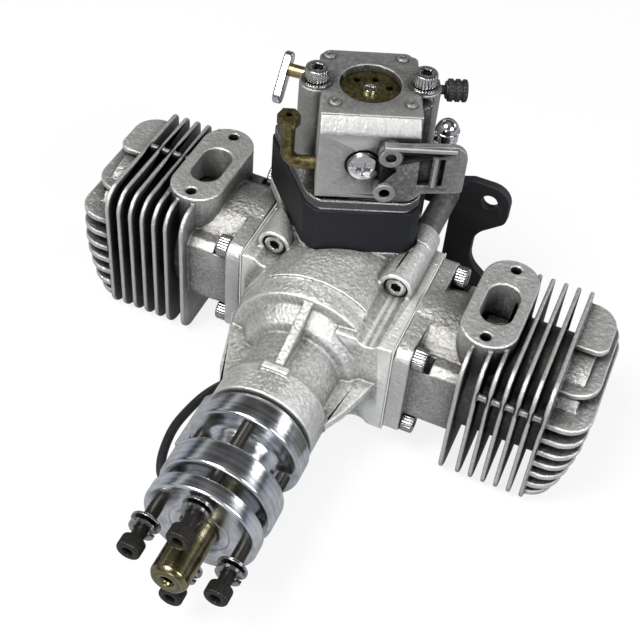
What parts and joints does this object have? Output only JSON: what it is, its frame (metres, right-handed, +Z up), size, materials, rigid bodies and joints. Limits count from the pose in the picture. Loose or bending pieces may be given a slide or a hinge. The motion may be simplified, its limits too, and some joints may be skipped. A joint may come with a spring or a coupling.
{
  "type": "flat aircraft engine",
  "caption": "Horizontally opposed two-stroke aero engine with propeller driver, top carburettor, rear mount plate and ignition sensor lead.",
  "frame": {"origin": "crank axis at the rear face of the mount plate, middle of the four mount holes", "axes": "+Z up, +X toward the right-hand cylinder, -Y along the crank toward the propeller"},
  "size_m": [0.1752, 0.211, 0.1043],
  "materials": {
    "cast_aluminium": "bead-blasted casting",
    "machined_aluminium": "turned, bright",
    "black_steel": "black oxide, satin",
    "black_painted_plate": "black anodised, matt",
    "bright_steel": "ground",
    "golden_steel": "yellow plated, satin",
    "ring_iron": "ground",
    "magnet_plating": "plated",
    "black_plastic": "matt",
    "reed_plate": "matt",
    "gasket_paper": "matt",
    "seal_rubber": "matt",
    "lead_rubber": "satin",
    "carburettor_alloy": "die cast",
    "brass": "satin",
    "plated_steel": "bright"
  },
  "bodies": {
    "case": {"crankcase_front": "cast_aluminium", "crankcase_rear": "cast_aluminium", "case_screws": "bright_steel", "standoffs": "machined_aluminium", "mount_plate": "black_painted_plate", "plate_screws": "black_steel", "right_cylinder": "cast_aluminium", "left_cylinder": "cast_aluminium", "base_gaskets": "gasket_paper", "base_screws": "bright_steel", "front_main_bearing": "bright_steel", "rear_main_bearing": "bright_steel", "nose_bearing": "bright_steel", "shaft_seal": "seal_rubber", "reed_block": "reed_plate", "reed_petals": "reed_plate", "intake_spacer": "black_plastic", "intake_plates": "machined_aluminium", "carburettor_body": "carburettor_alloy", "pump_cover": "carburettor_alloy", "pump_cover_screw": "bright_steel", "metering_cover": "carburettor_alloy", "metering_cover_screws": "bright_steel", "carburettor_screws": "bright_steel", "linkage_bracket": "carburettor_alloy", "fuel_elbow": "brass", "ignition_sensor": "machined_aluminium", "sensor_screw": "bright_steel", "sensor_lead": "lead_rubber", "lead_coil": "lead_rubber", "lead_plug": "black_plastic"},
    "crank": {"crankshaft_front": "bright_steel", "crank_centre_web": "bright_steel", "crankshaft_rear": "bright_steel", "prop_driver": "machined_aluminium", "sensor_magnet": "magnet_plating", "centre_spigot": "golden_steel", "prop_washer": "machined_aluminium", "prop_bolts": "black_steel", "bolt_washers": "bright_steel"},
    "right_piston_group": {"right_piston": "machined_aluminium", "right_piston_ring": "ring_iron", "right_wrist_pin": "bright_steel", "right_connecting_rod": "bright_steel", "right_crankpin": "bright_steel"},
    "left_piston_group": {"left_piston": "machined_aluminium", "left_piston_ring": "ring_iron", "left_wrist_pin": "bright_steel", "left_connecting_rod": "bright_steel", "left_crankpin": "bright_steel"},
    "choke": {"choke_shaft": "brass", "choke_plate": "brass", "choke_lever": "plated_steel"},
    "throttle": {"throttle_shaft": "brass", "throttle_plate": "brass", "throttle_lever": "plated_steel"},
    "idle_adjuster": {"idle_screw": "black_plastic"},
    "low_speed_adjuster": {"low_speed_needle": "brass"},
    "high_speed_adjuster": {"high_speed_needle": "brass"}
  },
  "joints": [
    {"name": "crank_spin", "type": "hinge", "parent": "case", "child": "crank", "pos_m": [0, -0.1, 0], "axis": [0, 1, 0], "continuous": true},
    {"name": "right_piston_slide", "type": "slide", "parent": "case", "child": "right_piston_group", "axis": [1, 0, 0], "range_m": [-0.025, 0]},
    {"name": "left_piston_slide", "type": "slide", "parent": "case", "child": "left_piston_group", "axis": [-1, 0, 0], "range_m": [-0.025, 0]},
    {"name": "choke_turn", "type": "hinge", "parent": "case", "child": "choke", "pos_m": [-0.003, -0.0275, 0.0686], "axis": [0.9977, 0.068, 0], "range_deg": [0, 75]},
    {"name": "throttle_turn", "type": "hinge", "parent": "case", "child": "throttle", "pos_m": [-0.003, -0.0275, 0.0505], "axis": [-0.9977, -0.068, 0], "range_deg": [0, 72]},
    {"name": "idle_screw_turn", "type": "hinge", "parent": "case", "child": "idle_adjuster", "pos_m": [0.00798, -0.01771, 0.0672], "axis": [0.9143, 0.4051, 0], "range_deg": [-360, 360]},
    {"name": "low_speed_needle_turn", "type": "hinge", "parent": "case", "child": "low_speed_adjuster", "pos_m": [0.00632, -0.01396, 0.0535], "axis": [0.9143, 0.4051, 0], "range_deg": [-360, 540]},
    {"name": "high_speed_needle_turn", "type": "hinge", "parent": "case", "child": "high_speed_adjuster", "pos_m": [0.00632, -0.01396, 0.06], "axis": [0.9143, 0.4051, 0], "range_deg": [-360, 540]}
  ],
  "couplings": [
    {"joint": "left_piston_slide", "follows": "right_piston_slide", "ratio": 1}
  ]
}
